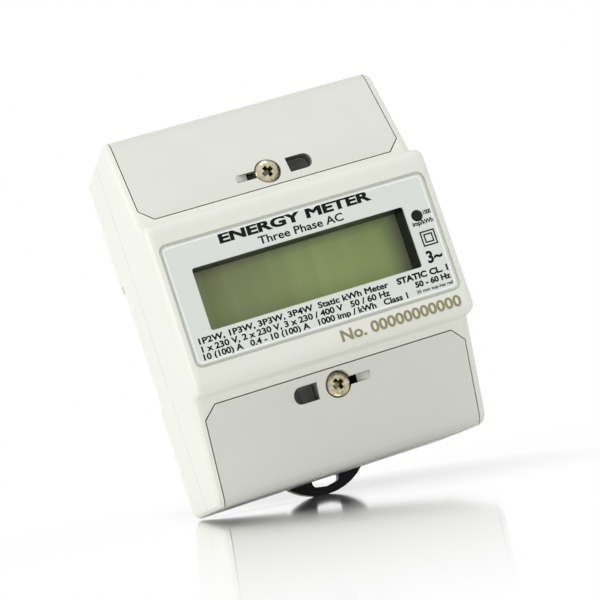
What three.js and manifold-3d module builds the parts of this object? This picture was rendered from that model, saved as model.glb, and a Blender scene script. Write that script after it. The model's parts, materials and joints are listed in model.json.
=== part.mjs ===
// DIN-rail electricity meter, 76 mm wide, 100 mm high and 65 mm deep, as an assembly of separate pieces.
// Millimetres. +Z is up on the rail, -Y faces the reader and +Y faces the wall.
// The origin is the middle of the seat that bears on the rail's front face.
import * as THREE from "three";
import { mergeVertices } from "three/addons/utils/BufferGeometryUtils.js";
import Module from "manifold-3d";

const wasm = await Module();
wasm.setup();

// ---- Driving dimensions ----
const WIDTH = 76;
const HEIGHT = 100;
const FRONT_Y = -60; // front face of the raised middle
const REAR_Y = 5; // face towards the wall
const SEAM_Y = -21; // parting plane of the two casing halves
const GAP = 0.3; // clearance between neighbouring pieces
const WALL = 2;

const HALF_W = WIDTH / 2;
const HALF_H = HEIGHT / 2;
const RAISED_HALF = 22.2; // half height of the raised front
const SHOULDER_Z = 22.8; // where the sloping shoulders start
const SHOULDER_Y = -51.3; // their depth there
const SLOPE = Math.tan(THREE.MathUtils.degToRad(25.3));
const FRONT_EDGE_R = 3;
const END_R = 5; // rounding from shoulder to end face
const SIDE_EDGE_R = 2;

const COVER_HALF_W = HALF_W - WALL - GAP;
const COVER_INNER_Z = 24.9;
const COVER_CHAMFER = 3.2;
const COVER_T = 2;
const COVER_END_Y = -31.3; // lower edge of the cover's end wall

const SCREW_Z = 29.1; // cover screw, and the same distance below the middle
const SCREW_HEAD_R = 3.15;
const SCREW_HEAD_Y = -48.1; // crown of the screw head
const SCREW_SEAT_Y = -45.8; // floor of the counterbore
const SCREW_TIP_Y = -34;
const POST_TOP_Y = -37.7;
const CUP_FLOOR_Y = -41.4; // floor of the cup that takes the crimped seal

const LABEL = { x0: -36, x1: 36, z0: -16.1, z1: 16.3, r: 2, floor: FRONT_Y + 0.9 };
const LABEL_MARGIN = 0.75; // groove between the recess wall and the plate
const SCREEN = { x0: -29.3, x1: 27.8, z0: -7.8, z1: 8.5 };
const LCD_Y = -51.2;
const LED = { x: 30.8, z: 5.2, r: 1.25 };

const RAIL_HALF = 17.9; // half height of the rail channel
const RAIL_LIP = 1.8; // how far the fixed hook reaches over the flange
const RAIL_LIP_Y = 1.5; // flange thickness plus play
const LATCH_HALF = 14;
const LATCH_RIDGE_HALF = 11.9;
const LATCH_NOSE_Z = -15.9;
const LATCH_END_R = 15.8;
const LATCH_END_Z = -38.7; // centre of the round end
const LATCH_Y = [1.5, 3.3, 4.7]; // plate, ridge and rear faces
const SPRING = { z0: -36.2, z1: -24.3, y: 3, r: 1.5 };

const BOARD_Y = [-18, -16.4];
const DISPLAY_BOARD_Y = [-46.5, -44.9];
const BOSS = { x: 31.5, z: 24.2, r: 3.3 };

const TERMINALS = 4; // at each end
const PITCH = 16.6; // between terminals
const BLOCK = { y0: -34, y1: -21.3, z0: 33, z1: 44 };
const WIRE_R = 3.6;
const WIRE_Y = -27;
const CLAMP_Z = 38.5;
const CLAMP = { half: 5, y0: -32.4, y1: -22.3, halfZ: 4 };

// ---- Materials ----
const finish = (color, roughness, metalness = 0) =>
  new THREE.MeshStandardMaterial({ color, roughness, metalness });
const CASING = finish(0xecede6, 0.45);
const COVER = finish(0xdcddd6, 0.5);
const LABEL_FILM = finish(0xcfd6d6, 0.35);
const BLACK = finish(0x0d0d0e, 0.5);
const LCD_GREEN = finish(0x77865a, 0.25);
const CLEAR = finish(0xe8efee, 0.05);
const DIFFUSER = finish(0xf2f2ee, 0.6);
const CIRCUIT = finish(0x1f6b3a, 0.4);
const PLATED = finish(0xb9ac84, 0.3, 1);
const BRASS = finish(0xc8a456, 0.3, 1);
const STEEL = finish(0xb8babd, 0.3, 1);
const TERMINAL = finish(0xc9cbc6, 0.5);
const NYLON = finish(0xe3e0d2, 0.5);
const CHIP = finish(0x1a1a1c, 0.5);
const FILM_CAP = finish(0xd0a43c, 0.4);
const SLEEVE = finish(0x23335c, 0.35);
const DISC_BLUE = finish(0x2b5aa8, 0.45);

// ---- Solids ----
// A closed three.js geometry as a manifold-3d solid, and back.
function solid(geometry) {
  const g = geometry.clone();
  g.deleteAttribute("normal");
  g.deleteAttribute("uv");
  const merged = mergeVertices(g, 1e-4);
  return new wasm.Manifold(
    new wasm.Mesh({
      numProp: 3,
      vertProperties: merged.attributes.position.array,
      triVerts: new Uint32Array(merged.index.array),
    }),
  );
}

function geometryOf(shape) {
  const mesh = shape.getMesh();
  const g = new THREE.BufferGeometry();
  g.setAttribute("position", new THREE.BufferAttribute(mesh.vertProperties, 3));
  g.setIndex(new THREE.BufferAttribute(mesh.triVerts, 1));
  g.computeVertexNormals();
  return g;
}

const union = (...shapes) => shapes.reduce((a, b) => a.add(b));

function box(x0, x1, y0, y1, z0, z1) {
  const g = new THREE.BoxGeometry(x1 - x0, y1 - y0, z1 - z0);
  g.translate((x0 + x1) / 2, (y0 + y1) / 2, (z0 + z1) / 2);
  return solid(g);
}

// An outline given as [u, v, radius] corners, counter-clockwise, with round corners as arcs.
function outline(corners, steps = 4) {
  const points = [];
  corners.forEach(([u, v, r = 0], i) => {
    const corner = new THREE.Vector2(u, v);
    if (!r) {
      points.push(corner);
      return;
    }
    const before = corners[(i + corners.length - 1) % corners.length];
    const after = corners[(i + 1) % corners.length];
    const a = new THREE.Vector2(before[0], before[1]).sub(corner).normalize();
    const b = new THREE.Vector2(after[0], after[1]).sub(corner).normalize();
    const half = Math.acos(THREE.MathUtils.clamp(a.dot(b), -1, 1)) / 2;
    const centre = a.clone().add(b).normalize().multiplyScalar(r / Math.sin(half)).add(corner);
    const from = a.multiplyScalar(r / Math.tan(half)).add(corner).sub(centre);
    const to = b.multiplyScalar(r / Math.tan(half)).add(corner).sub(centre);
    const turn = Math.atan2(from.cross(to), from.dot(to));
    for (let k = 0; k <= steps; k++)
      points.push(from.clone().rotateAround(new THREE.Vector2(), (turn * k) / steps).add(centre));
  });
  return points;
}

const rectangle = (u0, u1, v0, v1, r = 0, steps = 3) =>
  outline([[u0, v0, r], [u1, v0, r], [u1, v1, r], [u0, v1, r]], steps);

// Extrusions of an outline along +X (drawn in y, z), along Y (drawn in x, z) and along +Z (drawn in x, y).
function extrude(points, depth, basis, at, edge = 0) {
  const g = new THREE.ExtrudeGeometry(new THREE.Shape(points), {
    depth: depth - 2 * edge,
    bevelEnabled: edge > 0,
    bevelThickness: edge,
    bevelSize: edge,
    bevelOffset: -edge,
    bevelSegments: 3,
    steps: 1,
  });
  g.translate(0, 0, edge);
  g.applyMatrix4(basis);
  g.translate(...at);
  return solid(g);
}

const [X, Y, Z] = [0, 1, 2].map((i) => new THREE.Vector3().setComponent(i, 1));
const ALONG_X = new THREE.Matrix4().makeBasis(Y, Z, X);
const ALONG_Y = new THREE.Matrix4().makeBasis(X, Z, Y.clone().negate());
const ALONG_Z = new THREE.Matrix4().makeBasis(X, Y, Z);
const alongX = (points, x0, x1, edge) => extrude(points, x1 - x0, ALONG_X, [x0, 0, 0], edge);
const alongY = (points, y0, y1, edge) => extrude(points, y1 - y0, ALONG_Y, [0, y1, 0], edge);
const alongZ = (points, z0, z1) => extrude(points, z1 - z0, ALONG_Z, [0, 0, z0]);

// Round bars: along Y at (x, z), and along Z at (x, y).
function rodY(r, y0, y1, x, z, sides = 16) {
  const g = new THREE.CylinderGeometry(r, r, y1 - y0, sides);
  g.translate(x, (y0 + y1) / 2, z);
  return solid(g);
}
function rodZ(r, z0, z1, x, y, sides = 12) {
  const g = new THREE.CylinderGeometry(r, r, z1 - z0, sides).rotateX(Math.PI / 2);
  g.translate(x, y, (z0 + z1) / 2);
  return solid(g);
}

// A piece turned about Y from radius and y pairs that start and end on the axis.
function turned(profile, x, z, sides = 24) {
  const g = new THREE.LatheGeometry(profile.map(([r, y]) => new THREE.Vector2(r, y)), sides);
  g.translate(x, 0, z);
  return solid(g);
}

// Depth of the sloping shoulder at height z above the middle.
const shoulderY = (z) => SHOULDER_Y + SLOPE * (z - SHOULDER_Z);

// Side view of the casing's front half, in y and z, carried past the seam so that the seam edge stays sharp.
const PAST_SEAM = SEAM_Y + 6;
const sideView = outline([
  [PAST_SEAM, -HALF_H],
  [PAST_SEAM, HALF_H],
  [shoulderY(HALF_H), HALF_H, END_R],
  [SHOULDER_Y, SHOULDER_Z, 0.6],
  [FRONT_Y, RAISED_HALF, FRONT_EDGE_R],
  [FRONT_Y, -RAISED_HALF, FRONT_EDGE_R],
  [SHOULDER_Y, -SHOULDER_Z, 0.6],
  [shoulderY(HALF_H), -HALF_H, END_R],
].reverse());

// Front view of a terminal cover, in x and z, grown by a margin.
const coverView = (margin, top = HALF_H) =>
  outline([
    [COVER_HALF_W + margin, COVER_INNER_Z + COVER_CHAMFER - margin / 2],
    [COVER_HALF_W + margin, top],
    [-COVER_HALF_W - margin, top],
    [-COVER_HALF_W - margin, COVER_INNER_Z + COVER_CHAMFER - margin / 2],
    [-COVER_HALF_W + COVER_CHAMFER - margin / 2, COVER_INNER_Z - margin],
    [COVER_HALF_W - COVER_CHAMFER + margin / 2, COVER_INNER_Z - margin],
  ]);

// The same shape at the bottom end: half a turn about Y.
const otherEnd = (shape) => shape.rotate([0, 180, 0]);

// ---- Casing ----
const bosses = [-1, 1].flatMap((sx) => [-1, 1].map((sz) => [sx * BOSS.x, sz * BOSS.z]));

function frontHousing() {
  const inner = HALF_W - WALL;
  const outer = alongX(sideView, -HALF_W, HALF_W, SIDE_EDGE_R);
  const room = box(-inner, inner, FRONT_Y + 2.7, SEAM_Y + 9, -SHOULDER_Z + 2.5, SHOULDER_Z - 2.5);
  const recess = alongY(rectangle(LABEL.x0, LABEL.x1, LABEL.z0, LABEL.z1, LABEL.r), FRONT_Y - 1, LABEL.floor);
  const screen = box(SCREEN.x0 - 1, SCREEN.x1 + 1, FRONT_Y - 1, FRONT_Y + 4, SCREEN.z0 - 1, SCREEN.z1 + 1);
  const ledHole = rodY(LED.r + GAP, FRONT_Y - 1, FRONT_Y + 4, LED.x, LED.z, 12);
  let shape = outer.subtract(union(room, recess, screen, ledHole));

  // One terminal bay: the pocket that takes the cover, the bay below it, and the post for the cover screw.
  const ledge = COVER_T / Math.cos(Math.atan(SLOPE)) + GAP;
  const endWall = HALF_H - COVER_T - 0.6;
  const pocketSide = alongX(
    outline([
      [-70, 20],
      [shoulderY(20) + ledge, 20],
      [shoulderY(endWall) + ledge, endWall],
      [COVER_END_Y + GAP, endWall],
      [COVER_END_Y + GAP, 60],
      [-70, 60],
    ]),
    -HALF_W,
    HALF_W,
  );
  const pocket = alongY(coverView(GAP, 60), -70, COVER_END_Y + 5).intersect(pocketSide);
  const bay = union(
    alongY(coverView(-1.1, 60), -70, SEAM_Y + 9),
    rodY(4.15 + GAP, -70, SCREW_SEAT_Y + 1.5 + GAP, 0, SCREW_Z, 24),
  );
  const post = union(
    rodY(3.4, POST_TOP_Y, SEAM_Y + 2, 0, SCREW_Z, 16),
    box(-2, 2, POST_TOP_Y, SEAM_Y + 2, 25, SCREW_Z),
  );
  const postBore = rodY(1.5 + GAP, POST_TOP_Y - 1, POST_TOP_Y + 8, 0, SCREW_Z, 12);
  for (const place of [(s) => s, otherEnd]) {
    shape = shape.subtract(place(union(pocket, bay))).add(place(post)).subtract(place(postBore));
  }

  for (const [x, z] of bosses) shape = shape.add(rodY(BOSS.r, -40, SEAM_Y + 2, x, z, 12));
  for (const [x, z] of bosses) shape = shape.subtract(rodY(1.7, -36, SEAM_Y + 4, x, z, 10));

  // Posts that carry the display board.
  for (const x of [-33, 33])
    for (const z of [-17, 17])
      shape = shape.add(rodY(1.8, FRONT_Y + 2, DISPLAY_BOARD_Y[0] - GAP, x, z, 8));
  return shape.subtract(box(-60, 60, SEAM_Y - GAP / 2, 0, -60, 60));
}

function rearBase() {
  const inner = HALF_W - WALL;
  const outerView = rectangle(-HALF_W, HALF_W, -HALF_H, HALF_H, SIDE_EDGE_R);
  const outer = alongY(outerView, SEAM_Y - 3, REAR_Y, 1).subtract(
    box(-60, 60, SEAM_Y - 9, SEAM_Y + GAP / 2, -60, 60),
  );
  const room = union(
    box(-inner, inner, SEAM_Y - 5, -2.8, -HALF_H + WALL, HALF_H - WALL),
    box(-inner, inner, -4, 3, RAIL_HALF + 2.5, HALF_H - WALL),
    box(-inner, -17, -4, 3, -HALF_H + WALL, -RAIL_HALF - 2.5),
    box(17, inner, -4, 3, -HALF_H + WALL, -RAIL_HALF - 2.5),
  );
  let shape = outer.subtract(room);

  // Shelf behind the wire trough at each end, posts for the metering board, and screw bosses.
  const shelf = box(-inner - 1, inner + 1, SEAM_Y + GAP / 2, SEAM_Y + 1.8, 44.3, HALF_H - 1);
  shape = shape.add(shelf).add(otherEnd(shelf));
  for (const x of [-29, 29])
    for (const z of [-14, 14]) shape = shape.add(rodY(2.5, BOARD_Y[1] + GAP, -2, x, z, 8));
  for (const [x, z] of bosses) {
    shape = shape.add(rodY(BOSS.r + 0.6, SEAM_Y + GAP / 2, 4, x, z, 12));
    shape = shape.subtract(rodY(1.4 + GAP, SEAM_Y - 2, 6, x, z, 10));
    shape = shape.subtract(rodY(2.7 + GAP, 1.6, 6, x, z, 12));
  }

  // Rail channel: open below the fixed hook, with a raised seat in the middle.
  const channel = union(
    box(-50, 50, -0.4, RAIL_LIP_Y, -RAIL_HALF, RAIL_HALF),
    alongX(
      outline([
        [RAIL_LIP_Y - 0.1, -RAIL_HALF],
        [9, -RAIL_HALF],
        [9, RAIL_HALF - RAIL_LIP + 4],
        [RAIL_LIP_Y + 1.8, RAIL_HALF - RAIL_LIP],
        [RAIL_LIP_Y - 0.1, RAIL_HALF - RAIL_LIP],
      ]),
      -50,
      50,
    ),
  );
  const seat = box(-34, 34, -0.6, 0, -14, 14);

  // Undercut track for the latch, open at the bottom end, and the peg that the spring stands on.
  const track = union(
    box(-LATCH_HALF - GAP, LATCH_HALF + GAP, LATCH_Y[0] - GAP, LATCH_Y[1] + GAP, -60, -RAIL_HALF + 1),
    box(-LATCH_RIDGE_HALF - GAP, LATCH_RIDGE_HALF + GAP, LATCH_Y[0] - GAP, 9, -60, -RAIL_HALF + 1),
  );
  const peg = box(-1.8, 1.8, 1, 4.4, SPRING.z0 - GAP - 2, SPRING.z0 - GAP);
  return shape.subtract(channel).subtract(track).add(seat).add(peg);
}

// ---- Terminal covers ----
function terminalCover() {
  const back = COVER_T / Math.cos(Math.atan(SLOPE));
  const endInner = HALF_H - COVER_T;
  const plateSide = alongX(
    outline(
      [
        [shoulderY(20), 20],
        [shoulderY(20) + back, 20],
        [shoulderY(endInner) + back, endInner, 1],
        [COVER_END_Y, endInner],
        [COVER_END_Y, HALF_H],
        [shoulderY(HALF_H), HALF_H, END_R],
      ],
      5,
    ),
    -HALF_W,
    HALF_W,
  );
  const outside = alongX(
    outline([
      [shoulderY(10), 10],
      [COVER_END_Y, 10],
      [COVER_END_Y, HALF_H],
      [shoulderY(HALF_H), HALF_H, END_R],
    ]),
    -HALF_W,
    HALF_W,
  );
  const sealZ = [SCREW_Z - 1.1, SCREW_Z + 1.1];
  const plate = alongY(coverView(0), -70, 0).intersect(plateSide);
  const boss = rodY(4.15, -60, SCREW_SEAT_Y + 1.5, 0, SCREW_Z, 24).intersect(outside);
  const counterbore = rodY(3.5, -60, SCREW_SEAT_Y, 0, SCREW_Z, 24);
  const shankHole = rodY(1.5 + GAP, -60, 0, 0, SCREW_Z, 12);
  // The groove that leads a seal wire in to the screw, and the cup that takes its crimped seal.
  const groove = alongZ(
    outline([[-8.8, -60], [-3, -60], [-3, -43], [-5.5, -43], [-5.5, -46.6], [-8.8, -48]]),
    ...sealZ,
  );
  const cup = box(4.7, 13, -60, CUP_FLOOR_Y + 1, SCREW_Z - 3, SCREW_Z + 3.3).intersect(outside);
  const cupMouth = alongY(
    outline([
      [5.6, SCREW_Z - 2.1],
      [12.2, SCREW_Z - 2.1, 2],
      [12.2, SCREW_Z + 2.3, 2],
      [5.6, SCREW_Z + 2.3],
    ]),
    -60,
    -30,
  );
  const cupDepth = alongZ(
    outline([[5, -60], [14, -60], [14, CUP_FLOOR_Y - 2], [9, CUP_FLOOR_Y], [5, CUP_FLOOR_Y]]),
    20,
    40,
  );
  return union(plate, boss, cup).subtract(
    union(counterbore, shankHole, groove, cupMouth.intersect(cupDepth)),
  );
}

function coverScrew() {
  const under = SCREW_SEAT_Y - 0.2;
  const body = turned(
    [
      [0, SCREW_TIP_Y],
      [1, SCREW_TIP_Y],
      [1.5, SCREW_TIP_Y - 0.8],
      [1.5, under],
      [SCREW_HEAD_R, under],
      [SCREW_HEAD_R, under - 1.3],
      [SCREW_HEAD_R - 0.5, SCREW_HEAD_Y + 0.25],
      [1.6, SCREW_HEAD_Y],
      [0, SCREW_HEAD_Y],
    ].reverse(),
    0,
    SCREW_Z,
  );
  const cross = union(
    box(-2, 2, SCREW_HEAD_Y - 1, SCREW_HEAD_Y + 1.4, SCREW_Z - 0.45, SCREW_Z + 0.45),
    box(-0.45, 0.45, SCREW_HEAD_Y - 1, SCREW_HEAD_Y + 1.4, SCREW_Z - 2, SCREW_Z + 2),
  );
  return body.subtract(cross);
}

const screwRetainer = () =>
  rodY(3, POST_TOP_Y - 1.1, POST_TOP_Y - 0.4, 0, SCREW_Z, 16).subtract(
    rodY(1.5 + GAP, POST_TOP_Y - 3, POST_TOP_Y, 0, SCREW_Z, 12),
  );

function caseScrew() {
  const body = union(rodY(2.7, 2, 4.2, 0, 0, 12), rodY(1.4, -32, 2.5, 0, 0, 10));
  const cross = union(box(-1.7, 1.7, 3.2, 5, -0.35, 0.35), box(-0.35, 0.35, 3.2, 5, -1.7, 1.7));
  return body.subtract(cross);
}

// ---- Rail latch ----
function railLatch() {
  const roundEnd = (half) => {
    const low = LATCH_END_Z - Math.sqrt(LATCH_END_R ** 2 - half ** 2);
    const sweep = Math.asin(half / LATCH_END_R);
    const points = [new THREE.Vector2(half, LATCH_NOSE_Z), new THREE.Vector2(-half, LATCH_NOSE_Z)];
    points.push(new THREE.Vector2(-half, low));
    for (let k = 1; k < 14; k++) {
      const a = -sweep + (2 * sweep * k) / 14;
      points.push(new THREE.Vector2(Math.sin(a) * LATCH_END_R, LATCH_END_Z - Math.cos(a) * LATCH_END_R));
    }
    points.push(new THREE.Vector2(half, low));
    return points;
  };
  const plate = alongY(roundEnd(LATCH_HALF), LATCH_Y[0], LATCH_Y[1]);
  const ridge = alongY(roundEnd(LATCH_RIDGE_HALF), LATCH_Y[1] - 0.5, LATCH_Y[2]);
  const pull = alongY(
    outline([[-3.9, -44.5, 1], [-3.9, -51.6, 1.2], [0, -52.3], [3.9, -51.6, 1.2], [3.9, -44.5, 1]], 3),
    0,
    9,
  );
  const springWindow = box(-2.3, 2.3, 0, 9, -41, SPRING.z1 + GAP);
  const lead = alongX(outline([[9, -25], [9, -10], [2.6, -10], [2.6, LATCH_NOSE_Z], [4.8, -19.6]]), -30, 30);
  return plate.add(ridge).subtract(union(pull, springWindow, lead));
}

// ---- Front panel and display ----
const framed = (outer, hole) => outer.subtract(hole);

function labelPlate() {
  const m = LABEL_MARGIN;
  const view = rectangle(LABEL.x0 + m, LABEL.x1 - m, LABEL.z0 + m, LABEL.z1 - m, 1.2);
  const plate = alongY(view, LABEL.floor - 0.65, LABEL.floor - 0.1);
  const screen = alongY(rectangle(SCREEN.x0, SCREEN.x1, SCREEN.z0, SCREEN.z1, 0.6), -70, -50);
  const led = rodY(LED.r + GAP, -70, -50, LED.x, LED.z, 16);
  return plate.subtract(union(screen, led));
}

const screenBox = (grow, y0, y1) =>
  box(SCREEN.x0 - grow, SCREEN.x1 + grow, y0, y1, SCREEN.z0 - grow, SCREEN.z1 + grow);

function displayBezel() {
  const tube = screenBox(0.7, LABEL.floor, LCD_Y - GAP);
  const flange = box(SCREEN.x0 - 4, SCREEN.x1 + 1.4, FRONT_Y + 3, FRONT_Y + 4.4, -12, 12.5);
  return framed(tube.add(flange), screenBox(-0.05, -70, -50));
}

// ---- Terminals ----
const terminalXs = Array.from({ length: TERMINALS }, (_, i) => (i - (TERMINALS - 1) / 2) * PITCH);

function terminalBlock() {
  const half = (TERMINALS * PITCH) / 2;
  const body = box(-half, half, BLOCK.y0, BLOCK.y1, BLOCK.z0, BLOCK.z1);
  const pocketX = CLAMP.half + GAP;
  const pocketZ = CLAMP.halfZ + GAP;
  const cuts = terminalXs.map((x) =>
    union(
      box(x - pocketX, x + pocketX, CLAMP.y0 - GAP, 0, CLAMP_Z - pocketZ, CLAMP_Z + pocketZ),
      rodZ(WIRE_R + GAP, CLAMP_Z, 50, x, WIRE_Y, 20),
      rodY(3.6, -40, CLAMP.y0, x, CLAMP_Z, 16),
    ),
  );
  return body.subtract(union(...cuts));
}

// A brass clamp with its wire bore, its screw hole and a tail that is soldered to the metering board.
function clamp() {
  const body = box(-CLAMP.half, CLAMP.half, CLAMP.y0, CLAMP.y1, CLAMP_Z - CLAMP.halfZ, CLAMP_Z + CLAMP.halfZ);
  const tail = box(-2, 2, CLAMP.y1 - 1, BOARD_Y[0] - GAP, CLAMP_Z - 0.6, CLAMP_Z + 0.6);
  const bores = union(
    rodZ(WIRE_R, CLAMP_Z - 9, CLAMP_Z + 9, 0, WIRE_Y, 20),
    rodY(2 + GAP, -40, WIRE_Y, 0, CLAMP_Z, 12),
  );
  return body.add(tail).subtract(bores);
}

function clampScrew() {
  const tip = WIRE_Y - WIRE_R - 0.1;
  const body = union(rodY(3.3, -34.6, -32.7, 0, CLAMP_Z, 16), rodY(2, -33, tip, 0, CLAMP_Z, 12));
  return body.subtract(box(-4, 4, -35, -33.6, CLAMP_Z - 0.5, CLAMP_Z + 0.5));
}

// ---- Boards and components ----
function meteringBoard() {
  const notches = bosses.map(([x, z]) => rodY(BOSS.r + 1, -30, 0, x, z, 12));
  return box(-35.2, 35.2, BOARD_Y[0], BOARD_Y[1], -43.8, 43.8).subtract(union(...notches));
}

function varistor() {
  const disc = new THREE.CylinderGeometry(5, 5, 4, 16).rotateZ(Math.PI / 2);
  disc.translate(24, BOARD_Y[0] - 6, 8);
  const leads = [-2.5, 2.5].map((z) =>
    box(23.6, 24.4, BOARD_Y[0] - 6, BOARD_Y[0] - GAP, 8 + z - 0.4, 8 + z + 0.4),
  );
  return union(solid(disc), ...leads);
}

// ---- Assembly ----
const meter = new THREE.Group();
function add(name, shape, material, group = meter) {
  const mesh = new THREE.Mesh(geometryOf(shape), material);
  mesh.name = name;
  group.add(mesh);
  return mesh;
}

add("rear_base", rearBase(), CASING);
add("front_housing", frontHousing(), CASING);

for (const [end, place] of [["top", (s) => s], ["bottom", otherEnd]]) {
  add(`${end}_terminal_cover`, place(terminalCover()), COVER);
  add(`${end}_cover_screw`, place(coverScrew()), PLATED);
  add(`${end}_screw_retainer`, place(screwRetainer()), NYLON);
}

bosses.forEach(([x, z], i) => {
  add(`case_screw_${i + 1}`, caseScrew(), STEEL).position.set(x, 0, z);
});

add("rail_latch", railLatch(), BLACK);
add("latch_spring", rodZ(SPRING.r, SPRING.z0, SPRING.z1, 0, SPRING.y, 12), STEEL);

add("label_plate", labelPlate(), LABEL_FILM);
add("display_bezel", displayBezel(), BLACK);
add("display_window", screenBox(-0.4, LABEL.floor + 0.2, LABEL.floor + 1), CLEAR);
const screenBack = [SCREEN.x0 - 4, SCREEN.x1 + 1.4];
add("lcd_panel", box(...screenBack, LCD_Y, LCD_Y + 1.8, -11.5, 12), LCD_GREEN);
add("lcd_backlight", box(...screenBack, LCD_Y + 2.1, DISPLAY_BOARD_Y[0] - GAP, -11.5, 12), DIFFUSER);
add("pulse_led", rodY(LED.r, FRONT_Y + 0.15, DISPLAY_BOARD_Y[0] - GAP, LED.x, LED.z, 16), BLACK);

add("display_board", box(-34.5, 34.5, ...DISPLAY_BOARD_Y, -19, 19), CIRCUIT);
add("metering_board", meteringBoard(), CIRCUIT);
add("board_link_header", box(-12, 12, DISPLAY_BOARD_Y[1] + GAP, BOARD_Y[0] - GAP, -3, -0.5), CHIP);
add("metering_chip", box(-25, -15, BOARD_Y[0] - 1.9, BOARD_Y[0] - GAP, 5, 15), CHIP);
add("supply_capacitor", box(6, 24, BOARD_Y[0] - 15, BOARD_Y[0] - GAP, -17, -8), FILM_CAP);
add("smoothing_capacitor", rodY(5, BOARD_Y[0] - 17, BOARD_Y[0] - GAP, -20, -10, 20), SLEEVE);
add("varistor", varistor(), DISC_BLUE);

for (const [end, place] of [["top", (s) => s], ["bottom", otherEnd]]) {
  add(`${end}_terminal_block`, place(terminalBlock()), TERMINAL);
  terminalXs.forEach((x, i) => {
    add(`${end}_clamp_${i + 1}`, place(clamp()), BRASS).position.x = x;
    add(`${end}_clamp_screw_${i + 1}`, place(clampScrew()), PLATED).position.x = x;
  });
}

export default meter;
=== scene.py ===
# Looks of a DIN-rail electricity meter: materials, print, screws, spring, floor, light and camera around
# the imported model. Metres, in the model's frame: +Z up on the rail, -Y towards the reader.
import bmesh
import bpy
import json
import math
from mathutils import Matrix, Vector


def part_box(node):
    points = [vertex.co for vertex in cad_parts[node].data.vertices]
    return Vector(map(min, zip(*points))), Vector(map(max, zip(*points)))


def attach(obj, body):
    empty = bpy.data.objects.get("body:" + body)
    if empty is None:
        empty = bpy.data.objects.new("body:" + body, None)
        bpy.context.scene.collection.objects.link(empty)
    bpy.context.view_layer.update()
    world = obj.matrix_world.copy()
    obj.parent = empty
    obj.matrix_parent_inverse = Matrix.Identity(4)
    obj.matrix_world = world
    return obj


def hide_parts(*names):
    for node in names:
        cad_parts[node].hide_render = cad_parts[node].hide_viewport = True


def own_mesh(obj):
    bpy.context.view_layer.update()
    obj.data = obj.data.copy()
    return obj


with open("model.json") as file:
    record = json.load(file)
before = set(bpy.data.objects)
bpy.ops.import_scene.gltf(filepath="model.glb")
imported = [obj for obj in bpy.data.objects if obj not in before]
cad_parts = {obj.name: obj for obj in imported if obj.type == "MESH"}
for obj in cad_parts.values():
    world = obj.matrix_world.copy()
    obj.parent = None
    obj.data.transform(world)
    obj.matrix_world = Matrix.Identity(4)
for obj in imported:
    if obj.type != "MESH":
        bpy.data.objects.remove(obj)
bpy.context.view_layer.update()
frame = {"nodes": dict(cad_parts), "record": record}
nodes = frame["nodes"]
MM = 0.001


# ---- Small node-tree helpers ----
class Shader:
    """A material's node tree, with short calls for the nodes used here."""

    def __init__(self, name, colour, roughness, metallic=0.0):
        self.material = bpy.data.materials.new(name)
        self.material.use_nodes = True
        self.tree = self.material.node_tree
        self.surface = self.tree.nodes["Principled BSDF"]
        self.set("Base Color", (*colour, 1))
        self.set("Roughness", roughness)
        self.set("Metallic", metallic)
        self.place = self.node("ShaderNodeTexCoord").outputs["Object"]

    def node(self, kind, **settings):
        made = self.tree.nodes.new(kind)
        for key, value in settings.items():
            setattr(made, key, value)
        return made

    def link(self, source, target):
        self.tree.links.new(source, target)

    def set(self, socket, value):
        self.surface.inputs[socket].default_value = value

    def noise(self, scale, detail=2.0, stretch=(1, 1, 1)):
        """Noise with features about 1 / scale metres across."""
        mapping = self.node("ShaderNodeMapping")
        mapping.inputs["Scale"].default_value = stretch
        self.link(self.place, mapping.inputs["Vector"])
        noise = self.node("ShaderNodeTexNoise")
        noise.inputs["Scale"].default_value = scale
        noise.inputs["Detail"].default_value = detail
        self.link(mapping.outputs[0], noise.inputs["Vector"])
        return noise.outputs["Fac"]

    def remap(self, value, low, high, to_low, to_high):
        remap = self.node("ShaderNodeMapRange")
        for key, number in zip(("From Min", "From Max", "To Min", "To Max"), (low, high, to_low, to_high)):
            remap.inputs[key].default_value = number
        self.link(value, remap.inputs["Value"])
        return remap.outputs[0]

    def maths(self, operation, a, b):
        maths = self.node("ShaderNodeMath", operation=operation)
        for socket, value in zip(maths.inputs, (a, b)):
            if isinstance(value, (int, float)):
                socket.default_value = value
            else:
                self.link(value, socket)
        return maths.outputs[0]

    def mix(self, factor, a, b):
        """Colour a where factor is 0 and b where it is 1."""
        mix = self.node("ShaderNodeMix", data_type="RGBA")
        self.link(factor, mix.inputs[0])
        for socket, value in zip((mix.inputs[6], mix.inputs[7]), (a, b)):
            if isinstance(value, tuple):
                socket.default_value = (*value, 1)
            else:
                self.link(value, socket)
        return mix.outputs[2]

    def edges(self, radius):
        """1 on edges and corners rounded over the given radius, 0 on flat ground."""
        bevel = self.node("ShaderNodeBevel", samples=4)
        bevel.inputs["Radius"].default_value = radius
        geometry = self.node("ShaderNodeNewGeometry")
        dot = self.node("ShaderNodeVectorMath", operation="DOT_PRODUCT")
        self.link(bevel.outputs[0], dot.inputs[0])
        self.link(geometry.outputs["Normal"], dot.inputs[1])
        return self.remap(dot.outputs["Value"], 0.995, 0.8, 0.0, 1.0)

    def hollow(self, reach):
        """1 on open ground, less in grooves and recesses that the part's own walls close in within reach."""
        occlusion = self.node("ShaderNodeAmbientOcclusion", samples=8, only_local=True)
        occlusion.inputs["Distance"].default_value = reach
        return occlusion.outputs["AO"]

    def colour(self, value):
        self.link(value, self.surface.inputs["Base Color"])

    def roughness(self, value):
        self.link(value, self.surface.inputs["Roughness"])

    def bump(self, height, distance, strength=1.0, before=None):
        bump = self.node("ShaderNodeBump")
        bump.inputs["Strength"].default_value = strength
        bump.inputs["Distance"].default_value = distance
        self.link(height, bump.inputs["Height"])
        if before:
            self.link(before, bump.inputs["Normal"])
        self.link(bump.outputs[0], self.surface.inputs["Normal"])
        return bump.outputs[0]


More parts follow.
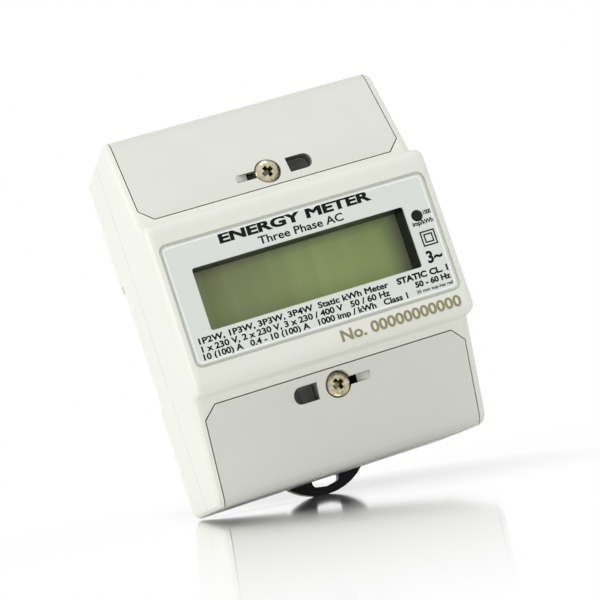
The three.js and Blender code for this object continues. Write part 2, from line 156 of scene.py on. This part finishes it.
def shade(colour, factor):
    """The colour made darker or lighter."""
    return tuple(min(1.0, c * factor) for c in colour)


# ---- Materials ----
def moulded(name, colour, roughness, grain=1.0, wear=1.05, shine=0.5, recess=0.0):
    """Moulded plastic: spark-eroded grain, slow tone changes, dust specks, polished edges and painted shade in
    deep recesses.
    """
    s = Shader(name, colour, roughness)
    s.set("IOR", 1.49)
    s.set("Specular IOR Level", shine)
    tone = s.noise(45, 3)
    body = s.mix(tone, shade(colour, 0.975), shade(colour, 1.015))
    specks = s.remap(s.noise(900, 4), 0.68, 0.8, 0.0, 0.5)
    dust_and_recess_shade = s.mix(specks, body, shade(colour, 0.93))
    # Painted shade: darker, down to about a fifth of the colour, in grooves and deep recesses that the part's
    # own walls close in.
    if recess:
        open_sky = s.hollow(recess)
        dust_and_recess_shade = s.mix(s.remap(open_sky, 0.1, 0.75, 1.0, 0.0), dust_and_recess_shade, shade(colour, 0.22))
    rubbed = s.edges(0.5 * MM)
    s.colour(s.mix(rubbed, dust_and_recess_shade, shade(colour, wear)))
    blotch = s.remap(s.noise(120, 4), 0.3, 0.7, roughness - 0.05, roughness + 0.06)
    s.roughness(s.maths("SUBTRACT", blotch, s.maths("MULTIPLY", rubbed, 0.1)))
    coarse = s.bump(s.noise(60, 2), 0.02 * MM, 0.4)
    s.bump(s.noise(3200, 3), 0.012 * MM * grain, 0.6, coarse)
    return s.material


def plated(name, colour, roughness, lines=(1, 1, 1)):
    """Plated steel or brass: fine machining lines, dull spots, bright edges and painted shade in the recesses.
    """
    s = Shader(name, colour, roughness, 1.0)
    tarnish = s.remap(s.noise(900, 4), 0.4, 0.62, 0.0, 0.85)
    rubbed = s.edges(0.2 * MM)
    face = s.mix(rubbed, s.mix(tarnish, colour, shade(colour, 0.6)), shade(colour, 1.25))
    # Painted shade: near black in the cross recess, the thread roots and other hollows that the part's own
    # walls close in.
    painted_recess_shade = s.remap(s.hollow(1.6 * MM), 0.35, 0.8, 1.0, 0.0)
    s.colour(s.mix(painted_recess_shade, face, shade(colour, 0.03)))
    s.roughness(s.remap(s.noise(1500, 3), 0.3, 0.7, roughness - 0.07, roughness + 0.15))
    s.bump(s.noise(2500, 2, lines), 0.012 * MM, 0.6)
    return s.material


def label_film(name, colour):
    """Silver-grey printed film: a fine metallic speckle under a satin face."""
    s = Shader(name, colour, 0.36, 0.15)
    speckle = s.remap(s.noise(4200, 2), 0.35, 0.65, 0.0, 1.0)
    slow = s.noise(28, 2)
    s.colour(s.mix(slow, s.mix(speckle, shade(colour, 0.95), shade(colour, 1.04)), shade(colour, 1.02)))
    s.roughness(s.remap(s.noise(160, 3), 0.3, 0.7, 0.3, 0.42))
    s.bump(s.noise(35, 2), 0.03 * MM, 0.5)
    return s.material


def ink(name, colour, roughness=0.45):
    """Screen-printed ink with slightly uneven cover."""
    s = Shader(name, colour, roughness)
    s.set("Specular IOR Level", 0.03)
    s.colour(s.mix(s.noise(2600, 3), colour, tuple(c + 0.015 for c in colour)))
    s.roughness(s.remap(s.noise(900, 2), 0.3, 0.7, roughness - 0.1, roughness + 0.1))
    s.bump(s.noise(5000, 2), 0.004 * MM, 0.5)
    return s.material


def display_glass(name):
    """The reflective display: olive, browner to the left, greener to the right, with a painted shadow of the
    bezel at the top rim and a painted reflection of the dark bezel wall with painted shade at the right rim.
    """
    s = Shader(name, (0.4, 0.5, 0.2), 0.22)
    s.set("Specular IOR Level", 0.3)
    split = s.node("ShaderNodeSeparateXYZ")
    s.link(s.place, split.inputs[0])
    lo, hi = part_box("display_window")
    across = s.remap(split.outputs["X"], lo.x, hi.x, 0.0, 1.0)
    cloud = s.remap(s.noise(40, 1), 0.3, 0.7, -0.15, 0.15)
    green = s.mix(s.maths("ADD", across, cloud), (0.46, 0.52, 0.235), (0.54, 0.74, 0.25))
    streak = s.remap(s.noise(220, 3, (1, 1, 0.06)), 0.42, 0.7, 0.0, 0.5)
    brushed = s.mix(streak, green, (0.66, 0.82, 0.34))
    # Painted shade and reflection: darker towards the top rim, where the bezel's top wall shades the display,
    # and towards the right rim, where the dark right wall is reflected.
    top_rim_shadow = s.remap(split.outputs["Z"], hi.z - 2.2 * MM, hi.z + 1.0 * MM, 0.0, 0.8)
    right_rim_reflection_and_shade = s.remap(split.outputs["X"], hi.x - 5.0 * MM, hi.x + 0.5 * MM, 0.0, 0.95)
    rim_shade_and_reflection = s.maths("MAXIMUM", top_rim_shadow, right_rim_reflection_and_shade)
    s.colour(s.mix(rim_shade_and_reflection, brushed, (0.3, 0.31, 0.2)))
    s.roughness(s.remap(s.noise(300, 2), 0.3, 0.7, 0.2, 0.27))
    s.bump(s.noise(5200, 1), 0.001 * MM, 0.2)
    return s.material


def clear_sheet(name):
    """Clear acrylic: mostly seen through, with a gloss face and faint wipe marks."""
    s = Shader(name, (0.02, 0.024, 0.02), 0.05)
    s.set("Alpha", 0.1)
    s.set("IOR", 1.49)
    s.set("Specular IOR Level", 0.12)
    wipe = s.remap(s.noise(120, 3, (1, 1, 6)), 0.4, 0.7, 0.03, 0.12)
    s.roughness(wipe)
    s.bump(s.noise(40, 1), 0.01 * MM, 0.3)
    return s.material


def circuit_board(name):
    """Green solder mask over copper tracks, with tinned pads."""
    s = Shader(name, (0.03, 0.16, 0.07), 0.3)
    bricks = s.node("ShaderNodeTexBrick", offset=0.37)
    bricks.inputs["Scale"].default_value = 260
    bricks.inputs["Mortar Size"].default_value = 0.07
    turn = s.node("ShaderNodeMapping")
    turn.inputs["Rotation"].default_value = (math.pi / 2, 0, 0)
    s.link(s.place, turn.inputs["Vector"])
    s.link(turn.outputs[0], bricks.inputs["Vector"])
    tracks = bricks.outputs["Fac"]
    mask = s.mix(tracks, (0.03, 0.16, 0.07), (0.06, 0.27, 0.12))
    cells = s.node("ShaderNodeTexVoronoi")
    cells.inputs["Scale"].default_value = 240
    s.link(s.place, cells.inputs["Vector"])
    pads = s.remap(cells.outputs["Distance"], 0.12, 0.1, 0.0, 1.0)
    s.colour(s.mix(pads, mask, (0.62, 0.6, 0.55)))
    s.bump(tracks, 0.03 * MM, 0.6)
    return s.material


WHITE = (0.785, 0.79, 0.72)
GREY_WHITE = (0.705, 0.71, 0.65)
looks = {
    "casing": moulded("casing_plastic", WHITE, 0.42),
    # The covers get painted shade in their grooves and deep recesses, reaching 12 mm.
    "cover": moulded("cover_plastic", GREY_WHITE, 0.46, 1.3, recess=12 * MM),
    "black_plastic": moulded("black_plastic", (0.008, 0.008, 0.009), 0.34, 1.0, 2.2, 0.18),
    "nylon": moulded("nylon", (0.72, 0.7, 0.6), 0.5),
    "terminal_plastic": moulded("terminal_plastic", (0.52, 0.53, 0.5), 0.5),
    "diffuser": moulded("diffuser_plastic", (0.85, 0.85, 0.82), 0.5),
    "plated_steel": plated("yellow_plating", (0.60, 0.54, 0.37), 0.24),
    "steel": plated("zinc_plating", (0.62, 0.63, 0.64), 0.3),
    "brass": plated("brass", (0.75, 0.55, 0.24), 0.3, (1, 4, 1)),
    "label_film": label_film("label_film", (0.70, 0.735, 0.69)),
    "clear_window": clear_sheet("clear_acrylic"),
    "lcd_green": display_glass("display_glass"),
    "circuit_board": circuit_board("circuit_board"),
    "film_capacitor": moulded("capacitor_box", (0.62, 0.36, 0.06), 0.4),
    "capacitor_sleeve": moulded("capacitor_sleeve", (0.02, 0.04, 0.12), 0.32),
    "varistor_blue": moulded("varistor_coating", (0.03, 0.1, 0.4), 0.4),
}
BLACK_INK = ink("black_ink", (0.006, 0.006, 0.007))
GOLD_INK = ink("laser_mark", (0.3, 0.27, 0.15), 0.5)
WHITE_INK = ink("white_ink", (0.93, 0.95, 0.92), 0.4)

slot_of = {s["node"]: s["material_slot"] for s in frame["record"]["subparts"]}
for name, obj in nodes.items():
    obj.data.materials.clear()
    obj.data.materials.append(looks[slot_of[name]])


# ---- Edges of the carried nodes: flat ground stays flat and each edge gets its moulding radius ----
EDGE = {
    "front_housing": 0.3,
    "rear_base": 0.3,
    "top_terminal_cover": 0.25,
    "bottom_terminal_cover": 0.25,
    "rail_latch": 0.3,
    "label_plate": 0.1,
}


def soften(obj, width):
    for polygon in obj.data.polygons:
        polygon.use_smooth = True
    flat = obj.modifiers.new("flat_faces", "DECIMATE")
    flat.decimate_type = "DISSOLVE"
    flat.angle_limit = math.radians(0.5)
    bevel = obj.modifiers.new("edge_radius", "BEVEL")
    bevel.width = width * MM
    bevel.segments = 2
    bevel.limit_method = "ANGLE"
    bevel.angle_limit = math.radians(32)
    bevel.harden_normals = True
    bevel.miter_outer = "MITER_ARC"


for name, obj in nodes.items():
    soften(obj, EDGE.get(name, 0.15))


# ---- Making and placing pieces ----
def piece(name, mesh, material, body):
    obj = bpy.data.objects.new(name, mesh)
    bpy.context.scene.collection.objects.link(obj)
    obj.data.materials.clear()
    obj.data.materials.append(material)
    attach(obj, body)
    return obj


def smooth(mesh, angle=30):
    for polygon in mesh.polygons:
        polygon.use_smooth = True
    mesh.set_sharp_from_angle(angle=math.radians(angle))
    return mesh


def turned(profile, sides):
    """A closed mesh turned about Y from (radius, y) points that start and end on the axis."""
    bm = bmesh.new()
    rings = []
    for radius, y in profile:
        if radius == 0:
            rings.append([bm.verts.new((0, y, 0))])
            continue
        turn = [2 * math.pi * k / sides for k in range(sides)]
        rings.append([bm.verts.new((radius * math.cos(a), y, radius * math.sin(a))) for a in turn])
    for a, b in zip(rings, rings[1:]):
        for k in range(sides):
            corners = [a[k % len(a)], a[(k + 1) % len(a)], b[(k + 1) % len(b)], b[k % len(b)]]
            bm.faces.new(list(dict.fromkeys(corners)))
    bmesh.ops.recalc_face_normals(bm, faces=bm.faces)
    return bm


# ---- Print on the label and the case ----
FONT_SIZE = 10.0
CAPITAL = 7.0  # height of a capital at that font size
INK_DEPTH = 0.03  # millimetres for a letter that is one unit deep


def print_text(name, text, x, z, height, width, face_y, material, weight):
    """Text whose lower left corner is at x, z and whose capitals are `height` high, all in millimetres."""
    font = bpy.data.curves.new(name, "FONT")
    font.body = text
    font.size = FONT_SIZE
    font.bevel_depth = weight
    font.bevel_resolution = 0
    font.extrude = 0.5
    font.resolution_u = 3
    maker = bpy.data.objects.new(name, font)
    bpy.context.scene.collection.objects.link(maker)
    bpy.context.view_layer.update()
    mesh = bpy.data.meshes.new_from_object(maker.evaluated_get(bpy.context.evaluated_depsgraph_get()))
    bpy.data.objects.remove(maker)
    xs = [v.co.x for v in mesh.vertices]
    across = width / (max(xs) - min(xs))
    up = height / CAPITAL
    for v in mesh.vertices:
        left = (v.co.x - min(xs)) * across
        v.co = Vector((x + left, face_y - v.co.z * INK_DEPTH, z + v.co.y * up)) * MM
    return piece(name, mesh, material, "meter")


label_lo, label_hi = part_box("label_plate")
LABEL_Y = label_lo.y / MM
CASE_FRONT_Y = -60.0  # in millimetres, as LABEL_Y is

# Name, text, left edge, baseline, capital height, width and stroke weight
LABEL_PRINT = [
    ("title", "ENERGY METER", -20.4, 12.6, 2.4, 41.2, 0.45),
    ("subtitle", "Three Phase AC", -10.8, 9.5, 2.0, 22.9, 0.2),
    ("wiring", "1P2W, 1P3W, 3P3W, 3P4W  Static kWh Meter", -33.3, -10.3, 1.5, 51, 0.36),
    ("volts", "1 x 230 V, 2 x 230 V, 3 x 230 / 400 V   50 / 60 Hz", -33.2, -12.4, 1.5, 50.6, 0.36),
    ("amps", "10 (100) A   0.4 - 10 (100) A   1000 imp / kWh   Class 1", -33.3, -14.4, 1.5, 55, 0.36),
    ("pulses", "1000", 32.6, 5.0, 1.1, 2.2, 0.4),
    ("pulse_unit", "imp/kWh", 28.9, 2.7, 1.1, 5.7, 0.4),
    ("phases", "3~", 29.7, -7.4, 3.0, 4.2, 0.35),
    ("class", "STATIC CL. 1", 20.0, -10.4, 1.5, 14.2, 0.5),
    ("hertz", "50 - 60 Hz", 24.4, -12.5, 1.4, 9.8, 0.5),
    ("foot", "35 mm top-hat rail", 24.2, -14.1, 0.8, 10.0, 0.3),
]
for name, text, x, z, height, width, weight in LABEL_PRINT:
    print_text(f"print_{name}", text, x, z, height, width, LABEL_Y, BLACK_INK, weight)
number = "No. 00000000000"
print_text("print_number", number, 1.6, -20.1, 2.8, 33, CASE_FRONT_Y, GOLD_INK, 0.3)


def terminal_numbers():
    """1 to 4 beside the upper clamp screws and 5 to 8 beside the lower ones, from left to right."""
    for end, first in (("top", 1), ("bottom", 5)):
        face_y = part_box(f"{end}_terminal_block")[0].y / MM
        screws = sorted((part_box(f"{end}_clamp_screw_{k}") for k in (1, 2, 3, 4)), key=lambda pair: pair[0].x)
        for number, (lo, hi) in enumerate(screws, first):
            x = hi.x / MM + 1.6
            z = (lo.z + hi.z) / 2 / MM - 1.1
            name = f"print_terminal_{number}"
            print_text(name, str(number), x, z, 2.2, 1.4, face_y, BLACK_INK, 0.2)


terminal_numbers()


def label_edge_line(inset, radius, line):
    """A thin raised white line inside the label's edge, with round corners, in millimetres."""
    middle = (label_lo + label_hi) / 2 / MM
    half_w = (label_hi.x - label_lo.x) / 2 / MM - inset
    half_h = (label_hi.z - label_lo.z) / 2 / MM - inset
    bm = bmesh.new()
    rings = []
    for grow, rise in ((line / 2, 0.0), (line / 4, 0.05), (-line / 4, 0.05), (-line / 2, 0.0)):
        ring = []
        for corner in range(4):
            sign_x = (1, -1, -1, 1)[corner]
            sign_z = (1, 1, -1, -1)[corner]
            for k in range(9):
                a = math.pi / 2 * (corner + k / 8)
                u = middle.x + sign_x * (half_w - radius) + (radius + grow) * math.cos(a)
                v = middle.z + sign_z * (half_h - radius) + (radius + grow) * math.sin(a)
                ring.append(bm.verts.new(Vector((u, LABEL_Y - rise, v)) * MM))
        rings.append(ring)
    count = len(rings[0])
    for a, b in zip(rings, rings[1:] + rings[:1]):
        for k in range(count):
            bm.faces.new((a[k], a[(k + 1) % count], b[(k + 1) % count], b[k]))
    bmesh.ops.recalc_face_normals(bm, faces=bm.faces)
    mesh = bpy.data.meshes.new("label_edge_line")
    bm.to_mesh(mesh)
    piece("label_edge_line", mesh, WHITE_INK, "meter")


def square_ring(name, x, z, outer, line):
    """A square outline in ink, in millimetres."""
    bm = bmesh.new()
    for side in range(4):
        turn = Matrix.Rotation(side * math.pi / 2, 4, "Y")
        bar = bmesh.ops.create_cube(bm, size=1)["verts"]
        for v in bar:
            v.co = Vector((v.co.x * (outer - line), v.co.y * 0.06, v.co.z * line))
            v.co += Vector((-line / 2, 0, (outer - line) / 2))
            v.co = turn @ v.co
    for v in bm.verts:
        v.co = (v.co + Vector((x, LABEL_Y, z))) * MM
    mesh = bpy.data.meshes.new(name)
    bm.to_mesh(mesh)
    piece(name, mesh, BLACK_INK, "meter")


label_edge_line(inset=0.5, radius=1.1, line=0.26)
for name, side in (("outer", 4.0), ("inner", 2.4)):
    square_ring(f"print_{name}_square", 31.9, -1.1, side, 0.36)


# ---- Cover screws: pan head with a cross recess, threaded shank ----
HEAD_T = 2.1 * MM
HEAD_EDGE = 0.15 * MM
DOME_RISE = 0.85 * MM
DOME_ANGLE = math.radians(80)
SHANK_R = 1.5 * MM
THREAD_DEPTH = 0.22 * MM
PITCH = 0.5 * MM
POINT_L = 1.6 * MM
POINT_R = 1.0 * MM
CROSS_SPAN = 4.6 * MM
CROSS_WIDTH = 1.35 * MM
CROSS_DEPTH = 2.0 * MM
CROSS_TAPER = 0.35  # size of the deep end of the recess as a share of its mouth
RECESS_TURN = math.radians(-28)


def screw_profile(crown, tip, head_r):
    """Radius and depth of a pan head, a thread of rings and a short point."""
    under = crown + HEAD_T
    points = [(0.0, crown)]
    for k in range(1, 9):
        a = DOME_ANGLE * k / 8
        drop = DOME_RISE * (1 - math.cos(a)) ** 1.5
        points.append((head_r * math.sin(a) / math.sin(DOME_ANGLE), crown + drop))
    points += [(head_r, under - HEAD_EDGE), (head_r - HEAD_EDGE, under), (SHANK_R, under)]
    y = under
    while y < tip - POINT_L:
        points += [(SHANK_R - THREAD_DEPTH, y + PITCH * 0.45), (SHANK_R, y + PITCH * 0.9)]
        y += PITCH
    return points + [(POINT_R, tip), (0.0, tip)]


def cross_cutter(crown):
    """Two tapered bars that cut the cross recess, centred on the crown."""
    bm = bmesh.new()
    for turn in (0, math.pi / 2):
        verts = bmesh.ops.create_cube(bm, size=1)["verts"]
        for v in verts:
            taper = 1.0 if v.co.y < 0 else CROSS_TAPER
            span = v.co.x * CROSS_SPAN * taper
            width = v.co.z * CROSS_WIDTH * (0.6 + 0.4 * taper)
            v.co = Vector((span, v.co.y * 2 * CROSS_DEPTH, width))
            v.co = Matrix.Rotation(turn + RECESS_TURN, 4, "Y") @ v.co
            v.co.y += crown
    mesh = bpy.data.meshes.new("cross_recess")
    bm.to_mesh(mesh)
    cutter = bpy.data.objects.new("cross_recess", mesh)
    bpy.context.scene.collection.objects.link(cutter)
    return cutter


def cover_screw(end):
    lo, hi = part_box(f"{end}_cover_screw")
    centre = (lo + hi) / 2
    bm = turned(screw_profile(lo.y, hi.y, (hi.x - lo.x) / 2), 48)
    mesh = bpy.data.meshes.new(f"{end}_screw_mesh")
    bm.to_mesh(mesh)
    obj = piece(f"{end}_screw_detail", mesh, looks["plated_steel"], f"{end}_screw")
    cutter = cross_cutter(lo.y)
    cut = obj.modifiers.new("recess", "BOOLEAN")
    cut.object = cutter
    cut.operation = "DIFFERENCE"
    cut.solver = "EXACT"
    cut.use_self = True
    bpy.context.view_layer.update()
    made = bpy.data.meshes.new_from_object(obj.evaluated_get(bpy.context.evaluated_depsgraph_get()))
    obj.modifiers.clear()
    for v in made.vertices:
        v.co += Vector((centre.x, 0, centre.z))
    made.materials.clear()
    made.materials.append(looks["plated_steel"])
    obj.data = smooth(made)
    bpy.data.objects.remove(cutter)
    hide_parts(f"{end}_cover_screw")


cover_screw("top")
cover_screw("bottom")


# ---- Latch spring: a closed-end coil, fixed to the meter; in the real meter it shortens as the latch is pulled ----
def latch_spring():
    lo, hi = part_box("latch_spring")
    centre = (lo + hi) / 2
    wire = 0.2 * MM
    radius = (hi.x - lo.x) / 2 - wire
    turns, steps, sides = 9, 24, 8
    bm = bmesh.new()
    rings = []
    for k in range(turns * steps + 1):
        part = k / (turns * steps)
        a = 2 * math.pi * turns * part
        rise = min(max((part - 0.09) / 0.82, 0), 1)
        z = lo.z + wire + (hi.z - lo.z - 2 * wire) * rise
        middle = Vector((centre.x + radius * math.cos(a), centre.y + radius * math.sin(a), z))
        out = Vector((math.cos(a), math.sin(a), 0))
        ring = []
        for j in range(sides):
            b = 2 * math.pi * j / sides
            ring.append(bm.verts.new(middle + wire * (out * math.cos(b) + Vector((0, 0, 1)) * math.sin(b))))
        rings.append(ring)
    for a, b in zip(rings, rings[1:]):
        for j in range(sides):
            bm.faces.new((a[j], a[(j + 1) % sides], b[(j + 1) % sides], b[j]))
    bm.faces.new(rings[0])
    bm.faces.new(rings[-1])
    bmesh.ops.recalc_face_normals(bm, faces=bm.faces)
    mesh = bpy.data.meshes.new("spring_mesh")
    bm.to_mesh(mesh)
    coil = piece("latch_spring_coil", smooth(mesh, 60), looks["steel"], "meter")
    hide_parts("latch_spring")
    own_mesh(coil)


latch_spring()


# ---- Floor: the meter stands on its latch and its lower left edge ----
FLOOR_UP = Vector((0.115, -0.06, 0.99)).normalized()
FLOOR_HALF = 12  # far enough that its end is out of sight
FLOOR_BLUR = 0.06
MIRROR_SHARE = 0.98  # close to the meter, up to MIRROR_NEAR; none beyond MIRROR_FAR
MIRROR_NEAR = 0.1
MIRROR_FAR = 0.4
CONTACT_DEPTH = 0.84  # brightness in the contact shadow, which fades from CONTACT_NEAR to CONTACT_FAR
CONTACT_REACH = 0.06
CONTACT_NEAR = 0.02
CONTACT_FAR = 0.046
SHADE_DEPTH = 0.8  # brightness in the middle of the long soft shade behind the meter
SHADE_X = 0.015
SHADE_BEHIND = 0.04
SHADE_SQUEEZE = 0.25  # its width as a share of its length
SHADE_NEAR = 0.01
SHADE_FAR = 0.054


def distance_from(s, place, centre):
    away = s.node("ShaderNodeVectorMath", operation="DISTANCE")
    s.link(place, away.inputs[0])
    away.inputs[1].default_value = centre
    return away.outputs["Value"]


def floor_gloss(contact):
    """White that mirrors what stands on it, most strongly close by, and shows nothing from below."""
    s = Shader("floor_gloss", (0.9, 0.9, 0.9), 0.5)
    s.tree.nodes.remove(s.surface)
    away = distance_from(s, s.place, (0, contact.y, contact.z))
    occlusion = s.node("ShaderNodeAmbientOcclusion", samples=16)
    occlusion.inputs["Distance"].default_value = CONTACT_REACH
    dim = s.remap(occlusion.outputs["AO"], 0.0, 1.0, CONTACT_DEPTH, 1.0)
    clear = s.remap(away, CONTACT_NEAR, CONTACT_FAR, CONTACT_DEPTH, 1.0)
    squeezed = s.node("ShaderNodeVectorMath", operation="MULTIPLY")
    s.link(s.place, squeezed.inputs[0])
    squeezed.inputs[1].default_value = (1, SHADE_SQUEEZE, 1)
    shade_centre = (SHADE_X, (contact.y + SHADE_BEHIND) * SHADE_SQUEEZE, contact.z)
    off = distance_from(s, squeezed.outputs[0], shade_centre)
    shade_behind = s.remap(off, SHADE_NEAR, SHADE_FAR, SHADE_DEPTH, 1.0)
    shadow = s.maths("MINIMUM", s.maths("MAXIMUM", dim, clear), shade_behind)
    white = s.node("ShaderNodeEmission")
    s.link(shadow, white.inputs["Color"])
    gloss = s.node("ShaderNodeBsdfGlossy")
    s.link(shadow, gloss.inputs["Color"])
    gloss.inputs["Roughness"].default_value = FLOOR_BLUR
    both = s.node("ShaderNodeMixShader")
    s.link(s.remap(away, MIRROR_NEAR, MIRROR_FAR, MIRROR_SHARE, 0.0), both.inputs[0])
    s.link(white.outputs[0], both.inputs[1])
    s.link(gloss.outputs[0], both.inputs[2])
    one_sided = s.node("ShaderNodeMixShader")
    s.link(s.node("ShaderNodeNewGeometry").outputs["Backfacing"], one_sided.inputs[0])
    s.link(both.outputs[0], one_sided.inputs[1])
    s.link(s.node("ShaderNodeBsdfTransparent").outputs[0], one_sided.inputs[2])
    s.link(one_sided.outputs[0], s.tree.nodes["Material Output"].inputs["Surface"])
    return s.material


def floor():
    lo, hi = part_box("rear_base")
    contact = Vector((lo.x, hi.y, lo.z))
    side = FLOOR_UP.orthogonal().normalized()
    other = FLOOR_UP.cross(side)
    bm = bmesh.new()
    corners = [(-1, -1), (1, -1), (1, 1), (-1, 1)]
    bm.faces.new([bm.verts.new(contact + (side * a + other * b) * FLOOR_HALF) for a, b in corners])
    mesh = bpy.data.meshes.new("floor")
    bm.to_mesh(mesh)
    mesh.materials.append(floor_gloss(contact))
    obj = bpy.data.objects.new("floor", mesh)
    bpy.context.scene.collection.objects.link(obj)


floor()


# ---- Light: white surroundings, a large soft light from the left and one from above ----
AMBIENT = 0.62  # of the surroundings' light that falls on matt surfaces


def surroundings():
    """White to look at and in reflections, dimmer as light on matt surfaces."""
    world = bpy.data.worlds.new("white_surroundings")
    bpy.context.scene.world = world
    world.use_nodes = True
    tree = world.node_tree
    background = tree.nodes["Background"]
    background.inputs["Color"].default_value = (1.0, 1.0, 1.0, 1)
    ray = tree.nodes.new("ShaderNodeLightPath")
    strength = tree.nodes.new("ShaderNodeMapRange")
    strength.inputs["To Min"].default_value = 1.0
    strength.inputs["To Max"].default_value = AMBIENT
    tree.links.new(ray.outputs["Is Diffuse Ray"], strength.inputs["Value"])
    tree.links.new(strength.outputs[0], background.inputs["Strength"])


def soft_light(name, position, size, power):
    """A round lamp that faces the middle of the meter."""
    data = bpy.data.lights.new(name, "AREA")
    data.shape = "DISK"
    data.size = size
    data.energy = power
    obj = bpy.data.objects.new(name, data)
    bpy.context.scene.collection.objects.link(obj)
    obj.location = position
    aim = Vector((0, -0.03, 0)) - Vector(position)
    obj.rotation_euler = aim.to_track_quat("-Z", "Y").to_euler()


surroundings()
soft_light("left_light", position=(-1.0, -0.1, 0.35), size=0.6, power=3.7)
soft_light("top_light", position=(0.1, -0.7, 1.0), size=0.7, power=4.0)


# ---- Camera ----
CAMERA_AT = Vector((-0.1178, -0.5236, -0.0595))
LOOKS_ALONG = Vector((0.2340, 0.9661, 0.1096)).normalized()
CAMERA_UP = Vector((0.2818, -0.1753, 0.9433))


def camera():
    data = bpy.data.cameras.new("camera")
    data.lens = 114.8
    data.sensor_width = 36
    obj = bpy.data.objects.new("camera", data)
    bpy.context.scene.collection.objects.link(obj)
    right = LOOKS_ALONG.cross(CAMERA_UP).normalized()
    turn = Matrix((right, right.cross(LOOKS_ALONG), -LOOKS_ALONG)).transposed().to_4x4()
    obj.matrix_world = Matrix.Translation(CAMERA_AT) @ turn
    bpy.context.scene.camera = obj


camera()
bpy.context.scene.view_settings.view_transform = "Standard"
